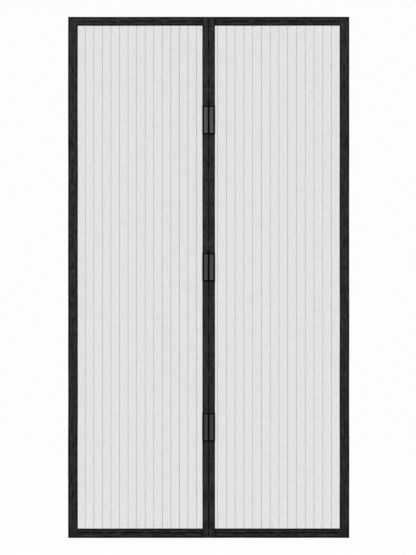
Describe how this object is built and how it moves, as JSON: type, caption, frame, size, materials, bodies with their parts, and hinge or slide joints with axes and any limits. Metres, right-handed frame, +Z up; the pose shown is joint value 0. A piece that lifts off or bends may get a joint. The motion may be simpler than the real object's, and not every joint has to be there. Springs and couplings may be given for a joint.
{
  "type": "magnetic insect screen",
  "caption": "Insect screen for a doorway: striped net panels bound in folded tape, closed along the middle by magnet clips and hung by hook-and-loop strips.",
  "frame": {"origin": "middle of the sticky back face of the top hook strip, where the screen is fixed to the door frame", "axes": "+X to the right as seen from the front, +Y out of the back towards the door frame, +Z up; the front faces -Y"},
  "size_m": [1.187, 0.0123, 2.2],
  "materials": {
    "tape": "matte woven polyester tape, black",
    "net": "matte knitted polyester net, black",
    "loop": "brushed loop pile, black",
    "hook": "nylon hook pile, black",
    "holder": "moulded, black",
    "back_plate": "moulded, black",
    "cover": "moulded, dark grey",
    "magnet": "sintered ferrite, dark grey",
    "hem_steel": "plain strip"
  },
  "bodies": {
    "root": {"left_net": "net", "left_top_tape": "tape", "left_bottom_tape": "tape", "left_side_tape": "tape", "left_inner_tape": "tape", "left_hem_weight": "hem_steel", "left_top_loop_strip": "loop", "left_side_loop_strip": "loop", "left_hook_strip": "hook", "left_upper_magnet_holder": "holder", "left_upper_bar_magnet": "magnet", "left_upper_magnet_cover": "cover", "left_upper_back_plate": "back_plate", "left_middle_magnet_holder": "holder", "left_middle_bar_magnet": "magnet", "left_middle_magnet_cover": "cover", "left_middle_back_plate": "back_plate", "left_lower_magnet_holder": "holder", "left_lower_bar_magnet": "magnet", "left_lower_magnet_cover": "cover", "left_lower_back_plate": "back_plate", "right_net": "net", "right_top_tape": "tape", "right_bottom_tape": "tape", "right_side_tape": "tape", "right_inner_tape": "tape", "right_hem_weight": "hem_steel", "right_top_loop_strip": "loop", "right_side_loop_strip": "loop", "right_hook_strip": "hook", "right_upper_magnet_holder": "holder", "right_upper_bar_magnet": "magnet", "right_upper_magnet_cover": "cover", "right_upper_back_plate": "back_plate", "right_middle_magnet_holder": "holder", "right_middle_bar_magnet": "magnet", "right_middle_magnet_cover": "cover", "right_middle_back_plate": "back_plate", "right_lower_magnet_holder": "holder", "right_lower_bar_magnet": "magnet", "right_lower_magnet_cover": "cover", "right_lower_back_plate": "back_plate", "top_hook_strip": "hook"}
  },
  "joints": []
}
